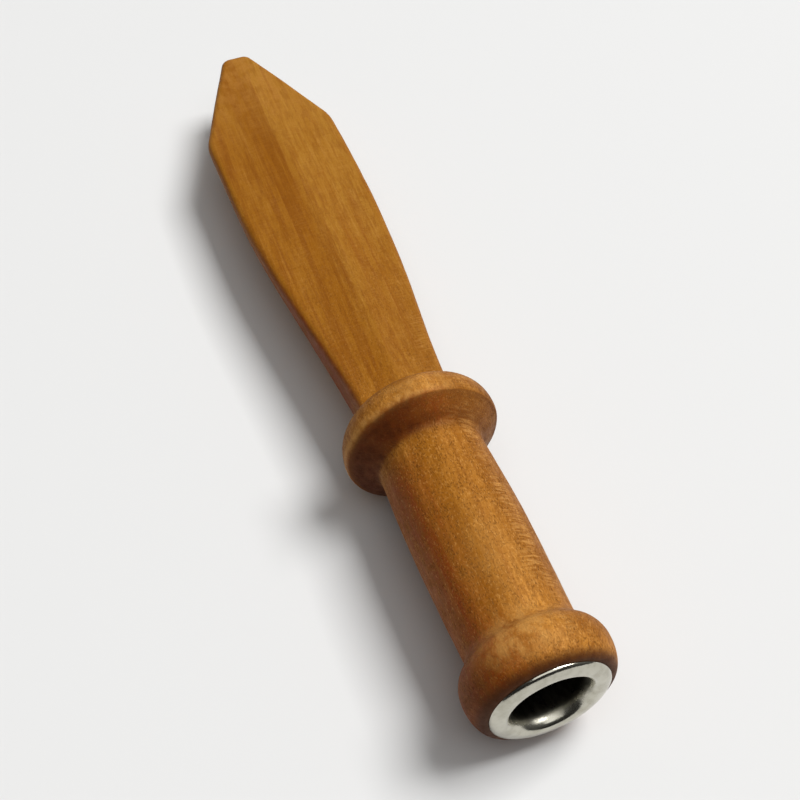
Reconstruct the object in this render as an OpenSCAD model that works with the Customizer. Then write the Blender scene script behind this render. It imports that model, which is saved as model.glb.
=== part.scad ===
// Wood edge slicker: a hand tool that burnishes the cut edges of leather.
// One hardwood billet is turned into a pommel, a handle and a collar, and its far end is carved into a
// flat blade with a blunt point. A plated metal eyelet is pressed into a blind hole in the butt.
//
// The tool lies along Y with its butt towards -Y and its tip towards +Y. The blade's faces look up and
// down. The origin is under the middle of the tool's length, on the plane that the collar's rim rests on.
// Distances called "at" are measured along the tool from the eyelet's crest, which is the butt end.

/* [Overall] */
// Length over the eyelet and the blade's tip
total_l = 150; // [136:1:165]

/* [Pommel and handle] */
// Diameter of the pommel at its widest point
pommel_d = 22.2; // [21.4:0.1:23.2]
// Place of the pommel's widest point
pommel_at = 5.2; // [4.6:0.1:5.6]
// Diameter of the handle where it meets the pommel and the collar
handle_d = 16.8; // [15.5:0.1:17.2]
// How much thicker the handle is in the middle
handle_swell = 0.7; // [0:0.1:1.5]

/* [Collar] */
// Diameter of the collar at its rim
collar_d = 25; // [23.5:0.1:27]
// Place of the collar's rim
collar_at = 48; // [42:0.5:56]

/* [Blade] */
// Width where the blade leaves the collar
root_w = 14.6; // [13:0.1:16]
// Width from the middle of the blade to its shoulders
blade_w = 24.4; // [20:0.1:24.8]
// Width of the blunt tip, before its corners are rounded
tip_w = 5.2; // [3:0.1:8]
// Length of the pointed end, from the shoulders to the tip
point_l = 23.5; // [18:0.5:30]
// Thickness over the ridge where the blade leaves the collar
root_t = 8.8; // [7.5:0.1:10.4]
// Thickness over the ridge at the shoulders
shoulder_t = 4.6; // [4:0.1:7]
// Thickness over the ridge at the tip
tip_t = 3.5; // [3:0.1:4]
// Height of each face's ridge above the face's long edges
ridge_h = 1; // [0.2:0.1:1.2]

/* [Eyelet and butt hole] */
// Outer diameter of the eyelet's flange
flange_d = 17.9; // [17:0.1:18.4]
// Clear diameter through the eyelet
eyelet_hole_d = 11.4; // [10:0.1:11.6]
// Thickness of the eyelet's metal
sheet_t = 0.4; // [0.3:0.05:0.5]
// Length of the eyelet's straight barrel
barrel_l = 5; // [3:0.1:7]
// Depth of the blind hole in the wood
hole_depth = 22; // [15:0.5:32]

/* [Hidden] */

wood_colour = [0.66, 0.43, 0.17];
nickel_colour = [0.80, 0.79, 0.75];

// Round surfaces
$fn = 96;

// Half sizes of the turned stretch
pommel_r = pommel_d / 2;
neck_r = handle_d / 2;
collar_r = collar_d / 2;

// Eyelet: the flange is domed, with its crest at 0, and rolls inwards into the barrel
flange_r = flange_d / 2;
throat_r = eyelet_hole_d / 2;
barrel_r = throat_r + sheet_t;
crest_r = throat_r + 1.3;
flange_h = 0.9;
bell_h = 2.2;
barrel_end = bell_h + barrel_l;

// Butt face: the flange's rim sits on it, and the hole leaves room for the film of glue round the barrel
face_at = flange_h;
face_r = flange_r + 0.2;
glue_gap = 0.06;
hole_r = barrel_r + glue_gap;

// Pommel: an oval rounding to the butt face, and a shoulder that slopes down into a cove
shoulder_end_angle = 36;
pommel_shoulder_l = 3.9;
pommel_shoulder_h = pommel_r - neck_r + 0.18;
pommel_cove_r = 3.2;
pommel_cove_angle = 46;
pommel_shoulder_end = pommel_at + pommel_shoulder_l * cos(shoulder_end_angle);
pommel_slope_h = pommel_r - pommel_shoulder_h * (1 - sin(shoulder_end_angle))
  - neck_r - pommel_cove_r * (1 - cos(pommel_cove_angle));
handle_start = pommel_shoulder_end + pommel_slope_h / tan(pommel_cove_angle)
  + pommel_cove_r * sin(pommel_cove_angle);

// Collar: a conical underside with a cove at its foot, a narrow rim and a rounded blade side
cove_r = 1.8;
cone_angle = 52;
rim_under_l = 1.2;
rim_under_h = 0.45;
collar_shoulder_l = 4.6;
collar_shoulder_h = 3.4;
collar_shoulder_end_angle = 8;
cone_foot_r = neck_r + cove_r * (1 - cos(cone_angle));
cone_top_r = collar_r - rim_under_h;
cone_top_at = collar_at - rim_under_l;
cone_foot_at = cone_top_at - (cone_top_r - cone_foot_r) / tan(cone_angle);
handle_end = cone_foot_at - cove_r * sin(cone_angle);
collar_end = collar_at + collar_shoulder_l * cos(collar_shoulder_end_angle);

// Blade: stations along it, each with a rounded six-sided section
blade_start = collar_at + 2;
shoulder_at = total_l - point_l;
widest_at = shoulder_at - 15;
width_curve = 1.4;
root_fillet_r = 1.6;
corner_r = 9;
tip_round_l = 1.9;
section_power = 6;
section_points = 48;
fillet_steps = 6;
blade_steps = 22;
corner_steps = 6;
point_steps = 8;
tip_steps = 7;

// Points on an oval arc: centre, half sizes along and across the tool, angles
function arc(c, along, across, a0, a1, steps) =
  [for (i = [0:steps]) let (a = a0 + (a1 - a0) * i / steps) c + [along * cos(a), across * sin(a)]];

function blend(a, b, t) = a + (b - a) * t;
function part_way(at, from, to) = min(max((at - from) / (to - from), 0), 1);
function signed_power(v, p) = sign(v) * pow(abs(v), p);

// Radius of the handle between its two necks
function handle_radius(at) =
  neck_r + handle_swell / 2 * sin(180 * part_way(at, handle_start, handle_end));

// Outline of the turned stretch as [at, radius]
turned_outline = concat(
  [[face_at, 0]],
  arc([pommel_at, face_r], pommel_at - face_at, pommel_r - face_r, 180, 90, 10),
  arc([pommel_at, pommel_r - pommel_shoulder_h], pommel_shoulder_l, pommel_shoulder_h,
    84, shoulder_end_angle, 10),
  arc([handle_start, neck_r + pommel_cove_r], pommel_cove_r, pommel_cove_r,
    270 - pommel_cove_angle, 270, 6),
  [for (i = [1:11]) let (at = blend(handle_start, handle_end, i / 12)) [at, handle_radius(at)]],
  arc([handle_end, neck_r + cove_r], cove_r, cove_r, 270, 270 + cone_angle, 8),
  arc([collar_at, collar_r - rim_under_h], rim_under_l, rim_under_h, 180, 90, 5),
  arc([collar_at, collar_r - collar_shoulder_h], collar_shoulder_l, collar_shoulder_h,
    80, collar_shoulder_end_angle, 10),
  [[collar_end, 0]]
);

// Half width of the blade before the roundings at its shoulders and tip
function plain_half_width(at) =
  at < shoulder_at
  ? blend(root_w, blade_w, pow(sin(90 * part_way(at, collar_end, widest_at)), width_curve)) / 2
  : blend(blade_w, tip_w, part_way(at, shoulder_at, total_l)) / 2;

// The shoulder's corner is cut by an arc that touches the parallel edge and the pointed end
point_angle = atan((blade_w - tip_w) / 2 / point_l);
corner_l = corner_r * tan(point_angle / 2);
function corner_cut(at) =
  let (from = shoulder_at - corner_l, to = shoulder_at + corner_l * cos(point_angle))
  at > from && at < to
  ? plain_half_width(at) - (blade_w / 2 - corner_r + sqrt(pow(corner_r, 2) - pow(at - from, 2)))
  : 0;

// 1 along the blade, falling to 0 round the tip
function tip_rounding(at) =
  sqrt(max(1 - pow(part_way(at, total_l - tip_round_l, total_l), 2), 0));

// Fillet between the collar's end face and the blade
function root_fillet(at) =
  let (d = min(max(at - collar_end, 0), root_fillet_r))
  root_fillet_r - sqrt(pow(root_fillet_r, 2) - pow(root_fillet_r - d, 2));

function half_width(at) =
  plain_half_width(at) - corner_cut(at)
  - (1 - tip_rounding(at)) * tip_w / 2 * 0.8
  + root_fillet(at);

function half_thickness(at) =
  (at < shoulder_at
    ? blend(shoulder_t, root_t, pow(1 - part_way(at, collar_end, shoulder_at), 2))
    : blend(shoulder_t, tip_t, part_way(at, shoulder_at, total_l))) / 2
  * blend(0.35, 1, tip_rounding(at))
  + root_fillet(at);

// The ridge fades out along the pointed end, so that the tip is flat
function ridge(at) = ridge_h * (1 - part_way(at, shoulder_at, total_l - tip_round_l));

// One section as points [x, y, z] round the tool's axis
function section(at) =
  let (w = half_width(at), t = half_thickness(at), r = ridge(at))
  [for (i = [0:section_points - 1])
    let (
      a = 360 * i / section_points,
      x = signed_power(cos(a), 2 / section_power),
      z = signed_power(sin(a), 2 / section_power)
    )
    [w * x, at, (t - r * abs(x)) * z]];

function steps_between(from, to, steps) = [for (i = [1:steps]) blend(from, to, i / steps)];

stations = concat(
  [blade_start, collar_end - 0.01],
  [for (i = [1:fillet_steps]) collar_end + root_fillet_r * (1 - cos(90 * i / fillet_steps))],
  steps_between(collar_end + root_fillet_r, shoulder_at - corner_l, blade_steps),
  steps_between(shoulder_at - corner_l, shoulder_at + corner_l * cos(point_angle), corner_steps),
  steps_between(shoulder_at + corner_l * cos(point_angle), total_l - tip_round_l, point_steps),
  [for (i = [1:tip_steps]) total_l - tip_round_l * (1 - sin(90 * i / tip_steps))]
);

// A solid skinned over a list of equal-length sections
module skin(sections) {
  n = len(sections[0]);
  last = len(sections) - 1;
  sides = [for (k = [0:last - 1], i = [0:n - 1], half = [0, 1])
    let (j = (i + 1) % n)
    half == 0
    ? [k * n + i, k * n + j, (k + 1) * n + j]
    : [k * n + i, (k + 1) * n + j, (k + 1) * n + i]];
  polyhedron(
    points = [for (s = sections, p = s) p],
    faces = concat([[for (i = [n - 1:-1:0]) i]], sides, [[for (i = [0:n - 1]) last * n + i]])
  );
}

// Turns an outline of [at, radius] about the tool's axis
module turned(outline) {
  rotate([-90, 0, 0])
    rotate_extrude()
      polygon([for (p = outline) [p[1], p[0]]]);
}

// Puts what is drawn from the butt end on the axis into the part's frame
module placed() {
  translate([0, -total_l / 2, collar_r])
    children();
}

// Blind hole with a flat bottom, cut from just outside the butt face
module butt_hole() {
  overcut = 1;
  translate([0, face_at - overcut, 0])
    rotate([-90, 0, 0])
      cylinder(r = hole_r, h = hole_depth + overcut);
}

// Pommel, handle, collar and blade, cut from one billet
module wood_body() {
  color(wood_colour)
    placed()
      difference() {
        union() {
          turned(turned_outline);
          skin([for (at = stations) section(at)]);
        }
        butt_hole();
      }
}

// One-piece domed eyelet, drawn from sheet metal and pressed into the butt hole
module eyelet() {
  color(nickel_colour)
    placed()
      turned(concat(
        [[flange_h, flange_r - sheet_t]],
        arc([flange_h, crest_r], flange_h, flange_r - crest_r, 90, 180, 10),
        arc([bell_h, crest_r], bell_h, crest_r - throat_r, 189, 270, 9),
        [[barrel_end, throat_r], [barrel_end, barrel_r]],
        arc([bell_h, crest_r], bell_h - sheet_t, crest_r - barrel_r, 270, 189, 9),
        arc([flange_h, crest_r], flange_h - sheet_t, flange_r - crest_r - sheet_t, 180, 99, 9)
      ));
}

wood_body();
eyelet();
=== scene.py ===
"""Looks of the wood edge slicker: an oiled hardwood body and a nickel-plated eyelet.

The tool lies along Y with its butt towards -Y. Both pieces are lofted here at full detail round the
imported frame. Lengths are in millimetres until a mesh is made: "at" is the distance from the butt end
along the tool, and a radius is the distance off its axis. Left and right are as seen from the butt.
"""

import math

import bmesh
import bpy
import numpy as np
from mathutils import Matrix, Vector, noise


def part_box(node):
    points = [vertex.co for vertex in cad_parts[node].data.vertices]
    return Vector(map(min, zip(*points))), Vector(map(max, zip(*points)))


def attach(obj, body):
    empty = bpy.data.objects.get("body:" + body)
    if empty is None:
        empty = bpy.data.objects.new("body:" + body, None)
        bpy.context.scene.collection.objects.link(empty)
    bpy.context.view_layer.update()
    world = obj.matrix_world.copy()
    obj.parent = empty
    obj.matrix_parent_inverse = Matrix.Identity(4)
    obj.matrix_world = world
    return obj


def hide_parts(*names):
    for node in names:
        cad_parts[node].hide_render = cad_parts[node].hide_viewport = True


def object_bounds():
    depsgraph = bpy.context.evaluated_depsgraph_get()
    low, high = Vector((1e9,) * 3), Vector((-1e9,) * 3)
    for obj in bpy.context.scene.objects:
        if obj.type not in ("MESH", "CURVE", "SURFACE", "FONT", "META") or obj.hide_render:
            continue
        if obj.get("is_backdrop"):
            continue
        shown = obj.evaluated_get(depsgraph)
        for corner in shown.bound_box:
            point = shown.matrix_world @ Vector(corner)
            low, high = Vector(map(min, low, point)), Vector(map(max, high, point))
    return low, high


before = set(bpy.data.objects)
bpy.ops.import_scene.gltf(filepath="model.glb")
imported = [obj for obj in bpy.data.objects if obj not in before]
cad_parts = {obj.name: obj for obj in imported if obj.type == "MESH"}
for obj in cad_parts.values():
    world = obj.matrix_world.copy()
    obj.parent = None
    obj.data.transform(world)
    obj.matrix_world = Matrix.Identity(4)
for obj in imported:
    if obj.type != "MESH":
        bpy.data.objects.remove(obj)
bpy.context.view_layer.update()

MM = 0.001

# The tool's axis and ends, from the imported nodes
wood_low, wood_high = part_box("wood_body")
eyelet_low, eyelet_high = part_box("eyelet")
BUTT = Vector(((wood_low.x + wood_high.x) / 2, eyelet_low.y, (wood_low.z + wood_high.z) / 2))
TOTAL_L = (wood_high.y - BUTT.y) / MM
COLLAR_R = (wood_high.z - wood_low.z) / 2 / MM
FLANGE_R = (eyelet_high.x - eyelet_low.x) / 2 / MM
EYELET_L = (eyelet_high.y - eyelet_low.y) / MM

# Turned stretch
POMMEL_R, POMMEL_AT = 11.1, 5.2
POMMEL_SHOULDER_L, POMMEL_SHOULDER_END = 3.9, 36
POMMEL_DIP, POMMEL_COVE_R, POMMEL_COVE_ANGLE = 0.18, 3.2, 46
NECK_R, HANDLE_SWELL = 8.4, 0.35
COLLAR_AT = 48.0
RIM_UNDER_L, RIM_UNDER_H = 1.2, 0.45
UNDERSIDE_COVE_R, UNDERSIDE_ANGLE = 1.8, 52
COLLAR_SHOULDER_L, COLLAR_SHOULDER_H = 4.6, 3.4
COLLAR_END = COLLAR_AT + COLLAR_SHOULDER_L

# Butt hole and eyelet
FLANGE_H, BELL_H = 0.9, 2.2
SHEET_T, THROAT_R, CREST_R = 0.4, 5.7, 7.0
FACE_AT, FACE_R = FLANGE_H, FLANGE_R + 0.2
HOLE_R, HOLE_DEPTH = 6.16, 22.0

# Blade: each face has a soft ridge, a little right of the middle, and slightly hollow facets
ROOT_W, BLADE_W, TIP_W = 14.6, 24.4, 5.2
ROOT_T, SHOULDER_T, TIP_T = 8.8, 4.6, 3.5
TIP_EDGE_SHARE = 0.42
RIDGE_H, RIDGE_SOFTNESS, HOLLOW = 1.0, 1.2, 0.12
RIDGE_SHIFT = 0.9
POINT_L, SHOULDER_CORNER_R, TIP_CORNER_R = 23.5, 9.0, 1.3
EDGE_R, ROOT_FILLET_R = 1.25, 1.6
SHOULDER_AT = TOTAL_L - POINT_L
WIDEST_AT = SHOULDER_AT - 15
WIDTH_CURVE = 1.4
JOIN_AT = 60.0

# Stretches along the tool over which the wood's finish changes
POMMEL_TO_HANDLE = (8, 14)
HANDLE_TO_COLLAR = (38, 44)
COLLAR_TO_BLADE = (50, 62)

# Points round a blade section, by quarter: facet, rounded edge, side. The body's columns of points
# are evenly spaced at the butt, and shift along the handle to where the blade needs them.
FACET_POINTS, EDGE_POINTS, SIDE_POINTS = 17, 8, 3
COLUMNS = 4 * (FACET_POINTS + EDGE_POINTS + SIDE_POINTS)
COLUMNS_SHIFT = (26, 44)


# ------------------------------------------------------------------ curves

def oval_arc(centre, along, across, start, end, steps):
    """Points on an oval arc, as rows of (at, radius)."""
    angles = np.radians(np.linspace(start, end, steps + 1))
    return np.array(centre) + np.stack([along * np.cos(angles), across * np.sin(angles)], 1)


def blend(a, b, t):
    return a + (b - a) * t


def part_way(value, start, end):
    return np.clip((value - start) / (end - start), 0, 1)


def smooth_step(value, start, end):
    t = part_way(value, start, end)
    return t * t * (3 - 2 * t)


def bump(value, centre, reach):
    """1 at centre, falling smoothly to 0 a reach away on either side."""
    return 1 - smooth_step(np.abs(value - centre), 0, reach)


# ------------------------------------------------------------------ wooden body

def pommel_outline():
    """Butt face, rounded rim and shoulder of the pommel, down to the handle's start."""
    butt = oval_arc((POMMEL_AT, FACE_R), POMMEL_AT - FACE_AT, POMMEL_R - FACE_R, 180, 90, 16)
    # The oval reaches just below the handle's radius, which ends the shoulder at about the cove's slope
    drop = POMMEL_R - NECK_R + POMMEL_DIP
    shoulder = oval_arc((POMMEL_AT, POMMEL_R - drop), POMMEL_SHOULDER_L, drop,
                        86, POMMEL_SHOULDER_END, 16)
    lean = math.radians(POMMEL_COVE_ANGLE)
    slope_h = shoulder[-1][1] - NECK_R - POMMEL_COVE_R * (1 - math.cos(lean))
    start = shoulder[-1][0] + slope_h / math.tan(lean) + POMMEL_COVE_R * math.sin(lean)
    cove = oval_arc((start, NECK_R + POMMEL_COVE_R), POMMEL_COVE_R, POMMEL_COVE_R,
                    276 - POMMEL_COVE_ANGLE, 270, 10)
    return np.concatenate([butt, shoulder, cove])


def collar_underside():
    """Cove, cone and rim on the collar's handle side, up to its widest circle."""
    lean = math.radians(UNDERSIDE_ANGLE)
    foot_r = NECK_R + UNDERSIDE_COVE_R * (1 - math.cos(lean))
    cone_top = np.array([COLLAR_AT - RIM_UNDER_L, COLLAR_R - RIM_UNDER_H])
    foot_at = cone_top[0] - (cone_top[1] - foot_r) / math.tan(lean)
    end = foot_at - UNDERSIDE_COVE_R * math.sin(lean)
    cove = oval_arc((end, NECK_R + UNDERSIDE_COVE_R), UNDERSIDE_COVE_R, UNDERSIDE_COVE_R,
                    270, 270 + UNDERSIDE_ANGLE, 10)
    cone = [blend(cove[-1], cone_top, t) for t in (0.2, 0.4, 0.6, 0.8, 0.93)]
    rim = oval_arc((COLLAR_AT, COLLAR_R - RIM_UNDER_H), RIM_UNDER_L, RIM_UNDER_H, 170, 90, 9)
    return np.concatenate([cove, cone, rim])


def turned_outline():
    """The billet from the bottom of the blind hole, out over the butt, to the collar's rim."""
    hole_end = FACE_AT + HOLE_DEPTH
    foot, mouth = 0.15, 0.12
    floor = [[hole_end, r] for r in (0.05, 2.5, 4.6, HOLE_R - foot)]
    wall = [[at, HOLE_R] for at in np.linspace(hole_end - foot, FACE_AT + mouth, 14)]
    face = [[FACE_AT, r] for r in (HOLE_R + mouth, 7.6, FACE_R - 0.4)]
    pommel, collar = pommel_outline(), collar_underside()
    start, end = pommel[-1][0], collar[0][0]
    along = np.linspace(start, end, 42)[1:-1]
    swell = HANDLE_SWELL * np.sin(np.pi * part_way(along, start, end))
    handle = np.stack([along, NECK_R + swell], 1)
    return np.concatenate([floor, wall, face, pommel, handle, collar])


def tip_rounding(at):
    """1 along the blade, falling in a quarter circle to 0 at the very tip."""
    return np.sqrt(1 - part_way(at, TOTAL_L - TIP_CORNER_R, TOTAL_L) ** 2)


def blade_half_width(at):
    point_angle = math.atan((BLADE_W - TIP_W) / 2 / POINT_L)
    swelling = np.sin(np.pi / 2 * part_way(at, COLLAR_END, WIDEST_AT)) ** WIDTH_CURVE
    side = blend(ROOT_W, BLADE_W, swelling) / 2
    point = blend(BLADE_W, TIP_W, part_way(at, SHOULDER_AT, TOTAL_L)) / 2
    corner_l = SHOULDER_CORNER_R * math.tan(point_angle / 2)
    start, end = SHOULDER_AT - corner_l, SHOULDER_AT + corner_l * math.cos(point_angle)
    run = np.clip(at - start, 0, SHOULDER_CORNER_R)
    corner = BLADE_W / 2 - SHOULDER_CORNER_R + np.sqrt(SHOULDER_CORNER_R ** 2 - run ** 2)
    half = side if at < start else corner if at < end else point
    return float(half - TIP_CORNER_R * (1 - tip_rounding(at)))


def blade_half_thickness(at):
    side = blend(SHOULDER_T, ROOT_T, (1 - part_way(at, COLLAR_END, SHOULDER_AT)) ** 2) / 2
    point = blend(SHOULDER_T, TIP_T, part_way(at, SHOULDER_AT, TOTAL_L)) / 2
    half = side if at < SHOULDER_AT else point
    return float(half * blend(TIP_EDGE_SHARE, 1, tip_rounding(at)))


def blade_section(at):
    """Section of the blade as rows of (x, z), from the upper ridge round through +x."""
    w, t = blade_half_width(at), blade_half_thickness(at)
    ridge = RIDGE_H * (1 - float(part_way(at, SHOULDER_AT, TOTAL_L - TIP_CORNER_R)))
    slope = ridge / w
    lean = math.sqrt(1 + slope ** 2)
    # Near the tip the rounded edge and the soft ridge shrink to fit the section
    radius = min(EDGE_R, 0.98 * (t - ridge) / (lean - slope), 0.9 * w)
    centre_x = w - radius
    centre_z = t - slope * centre_x - radius * lean
    facet_end = centre_x + radius * slope / lean
    facet_x = facet_end * np.arange(FACET_POINTS) / FACET_POINTS
    facet_z = t - slope * np.sqrt(facet_x ** 2 + min(RIDGE_SOFTNESS, 0.3 * w) ** 2)
    facet_z -= HOLLOW * ridge * np.sin(np.pi * facet_x / facet_end)
    angles = np.linspace(math.pi / 2 - math.atan(slope), 0, EDGE_POINTS + 1)[:-1]
    side_z = centre_z * (1 - np.arange(SIDE_POINTS) / SIDE_POINTS)
    quarter = np.concatenate([
        np.stack([facet_x, facet_z], 1),
        np.stack([centre_x + radius * np.cos(angles), centre_z + radius * np.sin(angles)], 1),
        np.stack([np.full(SIDE_POINTS, w), side_z], 1),
    ])
    right = np.concatenate([quarter, [[w, 0]], quarter[:0:-1] * [1, -1]])
    left = right[:0:-1] * [-1, 1]
    section = np.concatenate([right, quarter[:1] * [1, -1], left])
    starting, ending = smooth_step(at, JOIN_AT, JOIN_AT + 15), part_way(at, SHOULDER_AT, TOTAL_L)
    shift = RIDGE_SHIFT * float(starting * (1 - ending))
    section[:, 0] += shift * (1 - (section[:, 0] / w) ** 2)
    return section


def polar_radius(section, angles):
    """Distance from the axis to a section, in each direction."""
    own = np.arctan2(section[:, 0], section[:, 1]) % (2 * np.pi)
    size = np.hypot(section[:, 0], section[:, 1])
    order = np.argsort(own)
    return np.interp(angles, own[order], size[order], period=2 * np.pi)


def collar_to_blade(angles):
    """Rings over the collar's blade side, down a fillet and along the blade, to JOIN_AT.

    Each column keeps its direction. Its fillet touches the collar's rounded face and the blade.
    """
    arc_angles = np.radians(np.linspace(90, 0, 60))
    face = oval_arc((COLLAR_AT, COLLAR_R - COLLAR_SHOULDER_H), COLLAR_SHOULDER_L, COLLAR_SHOULDER_H,
                    90, 0, 59)
    normal = np.stack([np.cos(arc_angles) / COLLAR_SHOULDER_L,
                       np.sin(arc_angles) / COLLAR_SHOULDER_H], 1)
    normal /= np.linalg.norm(normal, axis=1)[:, None]
    down = np.arange(face[-1][1], 1.0, -0.2)[1:]
    face = np.concatenate([face, np.stack([np.full(len(down), COLLAR_END), down], 1)])
    normal = np.concatenate([normal, np.tile([1.0, 0.0], (len(down), 1))])
    run = np.concatenate([[0], np.cumsum(np.linalg.norm(np.diff(face, axis=0), axis=1))])
    offset_r = face[:, 1] + ROOT_FILLET_R * normal[:, 1]

    grid = np.arange(COLLAR_AT, JOIN_AT + 0.01, 0.25)
    table = np.array([polar_radius(blade_section(at), angles) for at in grid])

    def blade_r(at, column):
        return np.interp(at, grid, table[:, column])

    shoulder_steps, fillet_steps, blade_steps = 13, 9, 6
    rings = [[] for _ in range(shoulder_steps + fillet_steps + blade_steps)]
    for column, angle in enumerate(angles):
        foot_r = blade_r(COLLAR_END + ROOT_FILLET_R, column)
        touch = np.interp(foot_r + ROOT_FILLET_R, offset_r[::-1], run[::-1])
        ks = np.linspace(0, touch, shoulder_steps + 1)[1:]
        points = [(np.interp(k, run, face[:, 0]), np.interp(k, run, face[:, 1])) for k in ks]
        n_at = np.interp(touch, run, normal[:, 0])
        n_r = np.interp(touch, run, normal[:, 1])
        centre_at = points[-1][0] + ROOT_FILLET_R * n_at
        start = math.atan2(-n_r, -n_at) % (2 * math.pi)
        for k in range(1, fillet_steps + 1):
            a = blend(start, 1.5 * math.pi, k / fillet_steps)
            at = centre_at + ROOT_FILLET_R * math.cos(a)
            rise = (blade_r(at, column) - foot_r) * k / fillet_steps
            points.append((at, foot_r + ROOT_FILLET_R * (1 + math.sin(a)) + rise))
        for k in range(1, blade_steps + 1):
            at = blend(centre_at, JOIN_AT, k / blade_steps)
            points.append((at, blade_r(at, column)))
        for ring, (at, r) in zip(rings, points):
            ring.append((r * math.sin(angle), at, r * math.cos(angle)))
    return [np.array(ring) for ring in rings]


def wood_rings():
    """Every ring of the body, as arrays of (x, at, z), from the bottom of the hole to the tip."""
    section = blade_section(JOIN_AT)
    blade_angles = np.arctan2(section[:, 0], section[:, 1]) % (2 * np.pi)
    even_angles = 2 * np.pi * np.arange(COLUMNS) / COLUMNS
    rings = []
    outline = turned_outline()
    over_butt = False
    for at, r in outline:
        over_butt = over_butt or r > HOLE_R
        share = smooth_step(at, *COLUMNS_SHIFT) if over_butt else 0
        angles = blend(even_angles, blade_angles, share)
        rings.append(np.stack([r * np.sin(angles), np.full(COLUMNS, at), r * np.cos(angles)], 1))
    rings += collar_to_blade(blade_angles)
    step, fine_step, corner = 0.8, 0.4, 3
    stations = np.concatenate([
        np.arange(JOIN_AT + step, SHOULDER_AT - corner, step),
        np.arange(SHOULDER_AT - corner, SHOULDER_AT + corner, fine_step),
        np.arange(SHOULDER_AT + corner, TOTAL_L - TIP_CORNER_R, step),
        TOTAL_L - TIP_CORNER_R * (1 - np.sin(np.radians(np.linspace(0, 90, 11)))),
    ])
    for at in stations:
        section = blade_section(float(at))
        rings.append(np.stack([section[:, 0], np.full(COLUMNS, at), section[:, 1]], 1))
    for share in (0.7, 0.35):
        rings.append(rings[-1] * [share, 1, share])
    return rings


def mesh_from_rings(name, rings, loop=False, cap=False):
    """A mesh skinned over rings of (x, at, z) in mm, closed end to end or capped at both ends."""
    count = len(rings[0])
    rows = np.concatenate(rings)
    points = [BUTT + Vector((x, at, z)) * MM for x, at, z in rows]
    last = len(rings) - 1
    faces = []
    for k in range(len(rings) if loop else last):
        a, b = k * count, (k + 1) % len(rings) * count
        faces += [(a + i, a + (i + 1) % count, b + (i + 1) % count, b + i) for i in range(count)]
    if cap:
        for k in (0, last):
            centre = np.mean(rings[k], axis=0)
            points.append(BUTT + Vector(centre) * MM)
            a = k * count
            faces += [(a + (i + 1) % count, a + i, len(points) - 1) for i in range(count)]
    mesh = bpy.data.meshes.new(name)
    mesh.from_pydata(points, [], faces)
    made = bmesh.new()
    made.from_mesh(mesh)
    bmesh.ops.recalc_face_normals(made, faces=made.faces)
    made.to_mesh(mesh)
    made.free()
    for face in mesh.polygons:
        face.use_smooth = True
    obj = bpy.data.objects.new(name, mesh)
    bpy.context.scene.collection.objects.link(obj)
    return obj


def places(obj):
    """Each vertex of a piece as (x, at, z) in mm."""
    co = np.array([v.co for v in obj.data.vertices]) - np.array(BUTT)
    return co / MM


def set_mask(obj, name, values):
    """Stores a value for each vertex, which the piece's material reads."""
    layer = obj.data.attributes.new(name, "FLOAT", "POINT")
    layer.data.foreach_set("value", np.clip(values, 0, 1).astype(np.float32))


def undulate(obj, amounts, size, seed):
    """Moves each vertex along its normal by smooth noise of the given size, both in mm."""
    obj.data.update()
    shift = Vector((seed * 17.3, seed * 5.1, seed * 29.7))
    moved = [v.co + v.normal * (noise.noise(v.co / (size * MM) + shift) * amount * MM)
             for v, amount in zip(obj.data.vertices, amounts)]
    obj.data.vertices.foreach_set("co", np.array(moved).ravel())


def painted_shade_mask(x, at, radius, under_collar, side_wall):
    """Painted shade in the coves, round the collar, and on the left of the pommel and the blade."""
    cove_at = collar_underside()[0][0] + 0.8
    in_handle_cove = bump(at, cove_at, 2.2) * (radius < NECK_R + 1.8)
    in_blade_cove = bump(at, COLLAR_END + 0.8, 1.8) * (radius < COLLAR_R - 2.2)
    left_of_butt = smooth_step(-x, 1, 9) * (1 - smooth_step(at, 3, 9))
    right_of_rim = smooth_step(x, 7, 11.5) * bump(at, COLLAR_AT, 3)
    painted_shade = 0.45 * in_handle_cove + 0.4 * in_blade_cove + smooth_step(-x, -3, 5) * under_collar
    return painted_shade + 0.6 * left_of_butt + 0.35 * side_wall + 0.6 * right_of_rim


def painted_light_pale_tip_mask(x, at, z, radius):
    """Painted light, paler along the top and on the collar's rim where light falls, and paler wood towards
    the tip.
    """
    neck_at = pommel_outline()[-1][0] - 1
    on_rim = bump(at, COLLAR_AT - 0.4, 1.2) * (radius > COLLAR_R - 1) * (1 - smooth_step(x, 2, 7))
    on_top = bump(at, COLLAR_AT + 1.6, 2.2) * bump(x, 0, 8)
    on_top += 1.6 * bump(at, POMMEL_AT + 1.2, 5) * bump(x, -2.2, 8)
    on_top += 0.6 * bump(at, neck_at, 3) * bump(x, -1, 7)
    on_top += 0.4 * bump(at, 20, 13) * bump(x, -0.5, 6)
    return on_rim + on_top * (z > 0) + 0.35 * smooth_step(at, 118, 145)


def left_shade_mask(x, at, under_collar, side_wall):
    """Painted shade in dark red: the left of the pommel, handle and collar's underside, and the blade's
    side.
    """
    past_pommel = smooth_step(at, *POMMEL_TO_HANDLE)
    handle_side = smooth_step(-x, 1.5, 7) * (1 - smooth_step(at, *HANDLE_TO_COLLAR)) * past_pommel
    pommel_side = smooth_step(-x, -2, 7) * (1 - past_pommel)
    underside = smooth_step(-x, -8, -2) * under_collar
    return np.maximum(handle_side + pommel_side, np.maximum(underside, side_wall))


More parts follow.
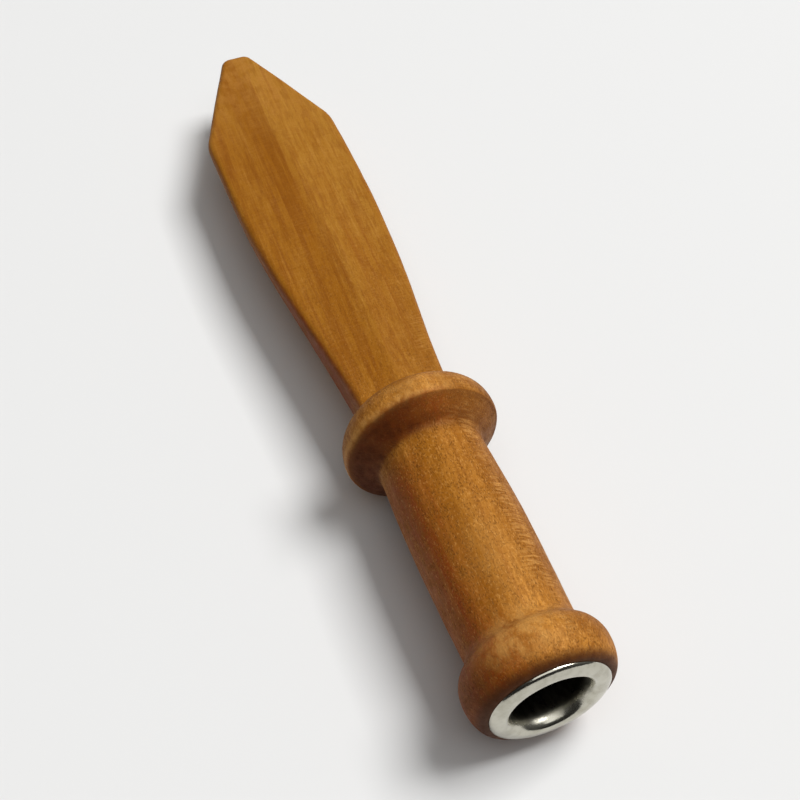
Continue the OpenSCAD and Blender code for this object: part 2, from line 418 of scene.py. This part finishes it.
def figure_mask(x, at, blade):
    """Browner, rippled grain on the right of the pommel, handle, collar and blade's root."""
    along_side = smooth_step(x, 1.5, 5.5) * smooth_step(at, 8, 16) * blend(1.0, 0.35, blade)
    along_side *= 1 - smooth_step(at, 62, 85)
    on_pommel = smooth_step(x, 1.5, 5) * bump(at, 6, 5)
    on_rim = smooth_step(x, 5, 9) * bump(at, COLLAR_AT, 4)
    return np.maximum(along_side, np.maximum(on_pommel, on_rim))


def make_wood():
    obj = mesh_from_rings("WoodBody", wood_rings(), cap=True)
    x, at, z = places(obj).T
    radius = np.hypot(x, z)
    inside = (radius <= HOLE_R + 0.3) & (at < FACE_AT + HOLE_DEPTH + 0.2)
    outside = np.where(inside | (at < FACE_AT + 0.05), 0.0, 1.0)
    # The blade is carved by hand, so it is less even than the turned stretch
    unevenness = blend(0.08, 0.14, smooth_step(at, 56, 70))
    undulate(obj, outside * unevenness, size=13, seed=1)
    undulate(obj, outside * 0.03, size=3.5, seed=2)

    facing_x = np.array([v.normal.x for v in obj.data.vertices])
    # The collar's underside, which gets painted shade
    cone_start, fade = collar_underside()[0][0], 1.6
    under_collar = smooth_step(at, cone_start, cone_start + fade)
    under_collar *= 1 - smooth_step(at, COLLAR_AT - fade, COLLAR_AT)
    blade = smooth_step(at, *COLLAR_TO_BLADE)
    # The blade's left side wall, which gets painted shade
    side_wall = blade * smooth_step(-facing_x, 0.45, 0.85) * (1 - smooth_step(at, 70, 118))
    butt = 1 - smooth_step(at, FACE_AT + 0.1, FACE_AT + 1.8)
    coarse = blend(1.0, 0.35, smooth_step(at, 44, 66)) * blend(1.0, 0.35, smooth_step(at, 66, 125))
    # Painted shade: the blade's left half is made darker
    left_half_shade = smooth_step(-x, -3, 3) * (1 - 0.7 * smooth_step(at, 122, 145))

    # Inside the hole, which is painted near black as shade
    set_mask(obj, "hollow", np.where(inside, 1.0, 0.0))
    # The butt's rim: darker end grain, with painted shade under the eyelet's flange
    set_mask(obj, "butt", butt * np.where(inside, 0, 1))
    # Painted shade
    set_mask(obj, "painted_shade", painted_shade_mask(x, at, radius, under_collar, side_wall) * outside)
    # Painted light along the top, and a paler tip
    set_mask(obj, "painted_light_pale_tip", painted_light_pale_tip_mask(x, at, z, radius) * outside)
    # Painted shade in dark red on the left
    set_mask(obj, "left_shade", left_shade_mask(x, at, under_collar, side_wall) * outside)
    set_mask(obj, "coarse", coarse * outside)
    set_mask(obj, "figure", figure_mask(x, at, blade))
    set_mask(obj, "blade", blade)
    # Painted shade on the blade's left half
    set_mask(obj, "half", blade * left_half_shade)
    return obj


# ------------------------------------------------------------------ eyelet

def eyelet_outline():
    """Closed outline of the drawn sheet: over the flange, down the barrel and back underneath."""
    bell, flange = CREST_R - THROAT_R, FLANGE_R - CREST_R
    outer = oval_arc((FLANGE_H, CREST_R), FLANGE_H, flange, 90, 180, 22)
    mouth = oval_arc((BELL_H, CREST_R), BELL_H, bell, 184, 270, 18)
    barrel = [[at, THROAT_R] for at in np.linspace(BELL_H + 0.4, EYELET_L - 0.12, 12)]
    lip = oval_arc((EYELET_L - SHEET_T / 2, THROAT_R + SHEET_T / 2), SHEET_T / 2, SHEET_T / 2, -60, 60, 5)
    wall = [[at, THROAT_R + SHEET_T] for at in np.linspace(EYELET_L - 0.25, BELL_H + 0.4, 8)]
    under_bell = oval_arc((BELL_H, CREST_R), BELL_H - SHEET_T, bell - SHEET_T, 270, 188, 10)
    under = oval_arc((FLANGE_H, CREST_R), FLANGE_H - SHEET_T, flange - SHEET_T, 172, 92, 12)
    rim = [[FLANGE_H, FLANGE_R - SHEET_T + 0.05], [FLANGE_H, FLANGE_R - 0.06]]
    return np.concatenate([outer, mouth, barrel, lip, wall, under_bell, under, rim])


def make_eyelet():
    columns = 160
    angles = 2 * np.pi * np.arange(columns) / columns
    rings = [np.stack([r * np.sin(angles), np.full(columns, at), r * np.cos(angles)], 1)
             for at, r in eyelet_outline()]
    obj = mesh_from_rings("Eyelet", rings, loop=True)
    x, at, z = places(obj).T
    inner = np.hypot(x, z) < CREST_R
    undulate(obj, np.where(inner, 0.05 * smooth_step(at, 0.6, 2.5), 0.0), size=1.1, seed=3)
    undulate(obj, np.where(at < FLANGE_H, 0.04, 0.0), size=4.0, seed=4)
    # Down the barrel, which gets painted shade
    set_mask(obj, "barrel", np.where(inner, smooth_step(at, 1.4, 2.8), 0.0))
    set_mask(obj, "bell", np.where(inner, smooth_step(at, 0.1, 1.2), 0.0))
    return obj


# ------------------------------------------------------------------ materials

def node(tree, kind, inputs=None, **settings):
    """A shader node with its settings, and each input linked to a socket or given a value."""
    made = tree.nodes.new(kind)
    for name, value in settings.items():
        setattr(made, name, value)
    for name, value in (inputs or {}).items():
        if isinstance(value, bpy.types.NodeSocket):
            tree.links.new(value, made.inputs[name])
        else:
            made.inputs[name].default_value = value
    return made


def new_material(name):
    material = bpy.data.materials.new(name)
    material.use_nodes = True
    material.node_tree.nodes.clear()
    return material


def math_of(tree, operation, a, b=0.0, clamp=False):
    made = node(tree, "ShaderNodeMath", {0: a, 1: b}, operation=operation, use_clamp=clamp)
    return made.outputs[0]


def times(tree, a, b):
    return math_of(tree, "MULTIPLY", a, b)


def plus(tree, a, b):
    return math_of(tree, "ADD", a, b)


def ranged(tree, value, low, high, to_low=0.0, to_high=1.0):
    """Maps low..high smoothly to to_low..to_high."""
    inputs = {"Value": value, 1: low, 2: high, 3: to_low, 4: to_high}
    return node(tree, "ShaderNodeMapRange", inputs, interpolation_type="SMOOTHSTEP").outputs[0]


def mixed(tree, share, a, b):
    """Mixes two colours: a where the share is 0, b where it is 1."""
    return node(tree, "ShaderNodeMix", {0: share, 6: a, 7: b}, data_type="RGBA").outputs[2]


def stretched(tree, coords, size, turn=(0, 0, 0), shift=(0, 0, 0)):
    """Coordinates in which one unit is size, in mm along each axis."""
    scale = [1 / (s * MM) for s in size]
    inputs = {"Vector": coords, "Rotation": [math.radians(a) for a in turn]}
    turned = node(tree, "ShaderNodeMapping", inputs).outputs[0]
    return node(tree, "ShaderNodeMapping", {"Vector": turned, "Scale": scale, "Location": shift}).outputs[0]


def noise_of(tree, coords, detail, roughness, distortion=0.0):
    """Soft noise about 0.5. Detail is how many finer layers it has, roughness how strong they are."""
    inputs = {"Vector": coords, "Scale": 1.0, "Detail": detail, "Roughness": roughness,
              "Distortion": distortion}
    return node(tree, "ShaderNodeTexNoise", inputs).outputs["Fac"]


def mask(tree, name):
    """The values that set_mask stored on the piece."""
    return node(tree, "ShaderNodeAttribute", attribute_name=name, attribute_type="GEOMETRY").outputs["Fac"]


def laid(tree, colour, over, *shares):
    """Lays one colour over another, as strongly as the product of the shares."""
    share = shares[0]
    for other in shares[1:]:
        share = times(tree, share, other)
    return mixed(tree, share, colour, over)


# Wood: the oiled colours from palest to darkest, what stains them, and the painted shade
LIGHT = (0.660, 0.330, 0.085, 1)
HONEY = (0.530, 0.220, 0.034, 1)
BLADE_HONEY = (0.350, 0.156, 0.018, 1)
BROWN = (0.268, 0.092, 0.004, 1)
UMBER = (0.190, 0.056, 0.003, 1)
# Painted shade, dark red, for the left side
SHADE_RUSSET = (0.250, 0.036, 0.001, 1)
RED = (0.180, 0.036, 0.002, 1)
DARK = (0.080, 0.022, 0.002, 1)
END_GRAIN = (0.150, 0.045, 0.009, 1)
# Painted shade, dark brown
SHADE_BROWN = (0.062, 0.010, 0.001, 1)
# Darker end grain at the butt's rim, with painted shade under the eyelet's flange
BUTT_GRAIN_AND_SHADE = (0.062, 0.017, 0.004, 1)
# Painted shade, near black, inside the butt hole
HOLE_SHADE = (0.012, 0.006, 0.003, 1)

GRAIN_SLANT = (0, 0, 2)


def wood_grain(tree, coords):
    """The wood's noise patterns by name. A size is in mm across, along and through the billet."""
    slant = GRAIN_SLANT
    drift = noise_of(tree, stretched(tree, coords, (14, 38, 14)), 2, 0.5)
    return {
        "broad": noise_of(tree, stretched(tree, coords, (6, 40, 6), slant), 3, 0.5),
        "streaks": noise_of(tree, stretched(tree, coords, (1.1, 34, 1.4), slant, (3, 0, 1)), 4, 0.6, 0.3),
        "threads": noise_of(tree, stretched(tree, coords, (0.35, 12, 0.35), slant, (7, 1, 5)), 3, 0.6),
        "fibres": noise_of(tree, stretched(tree, coords, (0.13, 2.6, 0.13), slant), 3, 0.6),
        "mottle": noise_of(tree, stretched(tree, coords, (1.6, 2.6, 1.6), shift=(9, 4, 2)), 4, 0.65),
        "blotch": noise_of(tree, stretched(tree, coords, (0.6, 4.0, 0.6), slant, (4, 8, 7)), 4, 0.65),
        "fuzz": noise_of(tree, stretched(tree, coords, (0.26, 0.60, 0.26), shift=(1, 6, 3)), 4, 0.7),
        "wander": math_of(tree, "SUBTRACT", drift, 0.5),
    }


def growth_rings(tree, coords, wander):
    """The billet is sawn off centre, so its rings cross the faces as long soft bands."""
    pith = (-21 * MM, 0, -30 * MM)
    ring_gap, waver = 2.4 * MM, 6 * MM
    centred = node(tree, "ShaderNodeVectorMath", {0: coords, 1: pith}, operation="SUBTRACT")
    flat = node(tree, "ShaderNodeVectorMath", {0: centred.outputs[0], 1: (1, 0, 1)}, operation="MULTIPLY")
    length = node(tree, "ShaderNodeVectorMath", {0: flat.outputs[0]}, operation="LENGTH")
    wavy = plus(tree, length.outputs["Value"], times(tree, wander, waver))
    phase = times(tree, wavy, 2 * math.pi / ring_gap)
    return ranged(tree, math_of(tree, "SINE", phase), -0.2, 1.0)


def middle_vein(tree, coords, wander):
    """A sheet of darker wood that runs lengthwise, a little left of the billet's middle."""
    centre, half_width, waver = -2.6 * MM, 3.0 * MM, 4.5 * MM
    across = node(tree, "ShaderNodeSeparateXYZ", {0: coords}).outputs[0]
    wavy = plus(tree, math_of(tree, "SUBTRACT", across, centre), times(tree, wander, waver))
    return ranged(tree, math_of(tree, "ABSOLUTE", wavy), half_width, 0.15 * half_width)


def pores(tree, coords, mottle):
    """Short pores along the grain, thick in some places and thinner on the blade."""
    specks = noise_of(tree, stretched(tree, coords, (0.17, 0.42, 0.17), GRAIN_SLANT, (2, 2, 2)), 2, 0.55)
    over = math_of(tree, "SUBTRACT", specks, ranged(tree, mottle, 0.35, 0.65, 0.60, 0.51))
    share = math_of(tree, "ADD", mask(tree, "coarse"), 0.10, clamp=True)
    return times(tree, ranged(tree, over, 0.0, 0.10), share)


def cross_ripples(tree, coords):
    """Ripples across the grain, in patches."""
    bands = noise_of(tree, stretched(tree, coords, (2.6, 0.24, 2.6), GRAIN_SLANT, (5, 2, 8)), 2, 0.5)
    patches = noise_of(tree, stretched(tree, coords, (3, 9, 3), shift=(2, 5, 1)), 3, 0.5)
    share = math_of(tree, "ADD", mask(tree, "figure"), 0.12, clamp=True)
    share = times(tree, ranged(tree, patches, 0.40, 0.60, 0.15, 1.0), share)
    return times(tree, ranged(tree, bands, 0.42, 0.62), share)


def grain_colour(tree, coords, grain, specks, ripples):
    """The clean oiled wood: its broad tones, then streaks, painted shade on the left, mottle, fuzz and
    pores.
    """
    streaks, threads, fuzz = grain["streaks"], grain["threads"], grain["fuzz"]
    coarse, half, left_shade = mask(tree, "coarse"), mask(tree, "half"), mask(tree, "left_shade")
    rings = growth_rings(tree, coords, grain["wander"])
    vein = middle_vein(tree, coords, grain["wander"])
    blotchy = math_of(tree, "ADD", coarse, 0.60, clamp=True)

    colour = mixed(tree, mask(tree, "blade"), HONEY, BLADE_HONEY)
    colour = laid(tree, colour, BROWN, ranged(tree, grain["broad"], 0.35, 0.68, 0.0, 0.60))
    # Painted shade on the blade's left half
    colour = laid(tree, colour, BROWN, half, 0.62)
    colour = laid(tree, colour, RED, ranged(tree, streaks, 0.46, 0.72, 0.0, 0.50))
    colour = laid(tree, colour, BROWN, ranged(tree, threads, 0.45, 0.75, 0.0, 0.35))
    colour = laid(tree, colour, LIGHT, ranged(tree, threads, 0.48, 0.28, 0.0, 0.14))
    colour = laid(tree, colour, BROWN, rings, 0.16)
    colour = laid(tree, colour, BROWN, vein, ranged(tree, streaks, 0.3, 0.6, 0.40, 0.85))
    # Painted shade on the blade's left half, in darker streaks
    colour = laid(tree, colour, UMBER, half, ranged(tree, streaks, 0.46, 0.60, 0.0, 0.60))
    # Painted shade in dark red on the left
    colour = laid(tree, colour, SHADE_RUSSET, left_shade, ranged(tree, streaks, 0.35, 0.62, 0.70, 1.00))
    colour = laid(tree, colour, BROWN, ranged(tree, grain["fibres"], 0.35, 0.75, 0.0, 0.28))
    colour = laid(tree, colour, UMBER, ranged(tree, grain["blotch"], 0.46, 0.62, 0.0, 0.50), blotchy)
    colour = laid(tree, colour, BROWN, ranged(tree, grain["mottle"], 0.48, 0.66, 0.0, 0.40))
    colour = laid(tree, colour, UMBER, mask(tree, "figure"), 0.64)
    colour = laid(tree, colour, BROWN, ranged(tree, fuzz, 0.46, 0.66, 0.0, 0.62), coarse)
    colour = laid(tree, colour, LIGHT, ranged(tree, fuzz, 0.48, 0.32, 0.0, 0.42), coarse)
    colour = laid(tree, colour, LIGHT, ripples, 0.42)
    return laid(tree, colour, DARK, specks, 0.55)


def end_grain_and_painted_light(tree, colour, mottle):
    """End grain drinks more oil; painted shade in the coves, round the collar and on the left; painted
    light along the top and a paler tip; darker end grain with painted shade at the butt; the hole painted
    near black as shade.
    """
    normal = node(tree, "ShaderNodeTexCoord").outputs["Normal"]
    endwise = math_of(tree, "ABSOLUTE", node(tree, "ShaderNodeSeparateXYZ", {0: normal}).outputs[1])
    colour = laid(tree, colour, END_GRAIN, ranged(tree, endwise, 0.45, 1.0, 0.0, 0.55))
    # Painted shade in the coves, round the collar and on the left
    colour = laid(tree, colour, SHADE_BROWN, mask(tree, "painted_shade"), ranged(tree, mottle, 0.3, 0.7, 0.70, 1.0), 0.92)
    # Painted light along the top and on the collar's rim, and a paler tip
    colour = laid(tree, colour, LIGHT, mask(tree, "painted_light_pale_tip"), ranged(tree, mottle, 0.38, 0.62, 0.10, 0.50))
    # Darker end grain at the butt, with painted shade under the eyelet's flange
    colour = laid(tree, colour, BUTT_GRAIN_AND_SHADE, mask(tree, "butt"),
                  ranged(tree, mottle, 0.25, 0.60, 0.80, 0.97))
    # The hole painted near black as its shade
    return laid(tree, colour, HOLE_SHADE, mask(tree, "hollow"))


def wood_material():
    """Oiled hardwood with its grain along Y, satin where it is smooth and duller in its pores."""
    material = new_material("oiled_wood")
    tree = material.node_tree
    coords = node(tree, "ShaderNodeTexCoord").outputs["Object"]
    grain = wood_grain(tree, coords)
    mottle = grain["mottle"]
    specks = pores(tree, coords, mottle)
    ripples = cross_ripples(tree, coords)
    colour = end_grain_and_painted_light(tree, grain_colour(tree, coords, grain, specks, ripples), mottle)

    gloss = plus(tree, ranged(tree, mottle, 0.3, 0.7, 0.50, 0.62), times(tree, specks, 0.15))
    height = plus(tree, times(tree, grain["fibres"], 0.40), times(tree, ripples, 0.35))
    height = plus(tree, height, times(tree, times(tree, grain["fuzz"], 0.6), mask(tree, "coarse")))
    height = math_of(tree, "SUBTRACT", height, times(tree, specks, 0.7))
    relief = node(tree, "ShaderNodeBump", {"Height": height, "Strength": 0.6, "Distance": 0.06 * MM})
    shader = node(tree, "ShaderNodeBsdfPrincipled", {
        "Base Color": colour, "Roughness": gloss, "Normal": relief.outputs[0],
        "Specular IOR Level": 0.14, "Specular Tint": (1.0, 0.85, 0.62, 1),
    })
    node(tree, "ShaderNodeOutputMaterial", {"Surface": shader.outputs[0]})
    return material


BRIGHT_NICKEL, DULL_NICKEL = (0.55, 0.53, 0.45, 1), (0.36, 0.34, 0.27, 1)
# Painted shade, near black, down the eyelet's barrel
BARREL_SHADE = (0.09, 0.075, 0.055, 1)


def nickel_material():
    """Nickel plate on a pressed eyelet, dulled and scuffed, with painted shade down the barrel."""
    material = new_material("nickel_plate")
    tree = material.node_tree
    coords = node(tree, "ShaderNodeTexCoord").outputs["Object"]
    cloud = noise_of(tree, stretched(tree, coords, (1.8, 1.8, 1.8)), 3, 0.6)
    grit = noise_of(tree, stretched(tree, coords, (0.10, 0.10, 0.10)), 2, 0.6)
    crush = noise_of(tree, stretched(tree, coords, (0.5, 1.5, 0.5), shift=(4, 4, 4)), 3, 0.6)
    colour = mixed(tree, ranged(tree, cloud, 0.35, 0.7, 0.0, 0.6), BRIGHT_NICKEL, DULL_NICKEL)
    # Painted shade down the barrel
    colour = laid(tree, colour, BARREL_SHADE, mask(tree, "barrel"), ranged(tree, crush, 0.35, 0.62, 0.80, 0.95))
    gloss = plus(tree, ranged(tree, cloud, 0.3, 0.7, 0.10, 0.20), times(tree, mask(tree, "bell"), 0.16))
    height = plus(tree, times(tree, grit, 0.12), times(tree, crush, 0.5))
    relief = node(tree, "ShaderNodeBump", {"Height": height, "Strength": 0.4, "Distance": 0.08 * MM})
    shader = node(tree, "ShaderNodeBsdfPrincipled", {
        "Base Color": colour, "Roughness": gloss, "Normal": relief.outputs[0], "Metallic": 1.0,
    })
    node(tree, "ShaderNodeOutputMaterial", {"Surface": shader.outputs[0]})
    return material


def floor_material():
    material = new_material("studio_floor")
    tree = material.node_tree
    shader = node(tree, "ShaderNodeBsdfPrincipled",
                  {"Base Color": (0.70, 0.70, 0.695, 1), "Roughness": 0.85, "Specular IOR Level": 0.1})
    node(tree, "ShaderNodeOutputMaterial", {"Surface": shader.outputs[0]})
    return material


# ------------------------------------------------------------------ stage, light and camera

def make_floor(height):
    """A wide plain floor at a height. Its sizes, and the lights', are in metres."""
    half = 12.0
    corners = [(-half, -half, height), (half, -half, height), (half, half, height), (-half, half, height)]
    mesh = bpy.data.meshes.new("Floor")
    mesh.from_pydata(corners, [], [(0, 1, 2, 3)])
    mesh.materials.append(floor_material())
    floor = bpy.data.objects.new("Floor", mesh)
    bpy.context.scene.collection.objects.link(floor)
    floor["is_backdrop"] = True


def area_light(name, direction, distance, size, power):
    """A square soft light that faces the tool's middle from a direction, its power in watts."""
    light = bpy.data.lights.new(name, "AREA")
    light.size = size
    light.energy = power
    obj = bpy.data.objects.new(name, light)
    aim = Vector(direction).normalized()
    obj.location = MIDDLE + aim * distance
    obj.rotation_euler = aim.to_track_quat("Z", "Y").to_euler()
    bpy.context.scene.collection.objects.link(obj)


def soft_world(direction, dim, bright):
    """A plain surround, bright in one direction and dim in the other."""
    world = bpy.data.worlds.new("Studio")
    world.use_nodes = True
    tree = world.node_tree
    heading = node(tree, "ShaderNodeTexCoord").outputs["Generated"]
    towards = node(tree, "ShaderNodeVectorMath", {0: heading, 1: direction}, operation="DOT_PRODUCT")
    strength = ranged(tree, towards.outputs["Value"], -0.1, 0.95, dim, bright)
    background = tree.nodes["Background"]
    background.inputs["Color"].default_value = (1.0, 0.99, 0.97, 1)
    tree.links.new(strength, background.inputs["Strength"])
    bpy.context.scene.world = world


def make_camera():
    """The camera stands to the left of the butt and looks down along the tool."""
    azimuth, elevation, roll = math.radians(-19.16), math.radians(50.77), math.radians(-2.13)
    distance, lens, sensor = 0.2098, 59.85, 36.0
    aim = BUTT + Vector((-0.27, 56.47, 0)) * MM
    back = Vector((math.sin(azimuth) * math.cos(elevation), -math.cos(azimuth) * math.cos(elevation),
                   math.sin(elevation)))
    data = bpy.data.cameras.new("Camera")
    data.lens = lens
    data.sensor_width = sensor
    data.clip_start = 0.01
    camera = bpy.data.objects.new("Camera", data)
    turn = back.to_track_quat("Z", "Y").to_matrix() @ Matrix.Rotation(roll, 3, "Z")
    camera.matrix_world = Matrix.Translation(aim + back * distance) @ turn.to_4x4()
    bpy.context.scene.collection.objects.link(camera)
    bpy.context.scene.camera = camera


# ------------------------------------------------------------------ build

MIDDLE = Vector((BUTT.x, BUTT.y + TOTAL_L / 2 * MM, BUTT.z))

make_camera()

wood = make_wood()
wood.data.materials.append(wood_material())
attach(wood, "root")
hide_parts("wood_body")

eyelet = make_eyelet()
eyelet.data.materials.append(nickel_material())
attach(eyelet, "root")
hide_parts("eyelet")

make_floor(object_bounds()[0][2])
soft_world((0.45, 0.35, 0.82), dim=0.03, bright=0.16)
area_light("Key", (0.50, 0.02, 0.86), distance=4.0, size=1.8, power=175.0)
area_light("Top", (0.0, -0.35, 0.94), distance=4.0, size=3.6, power=48.0)

scene = bpy.context.scene
scene.view_settings.view_transform = "Standard"
scene.view_settings.look = "None"
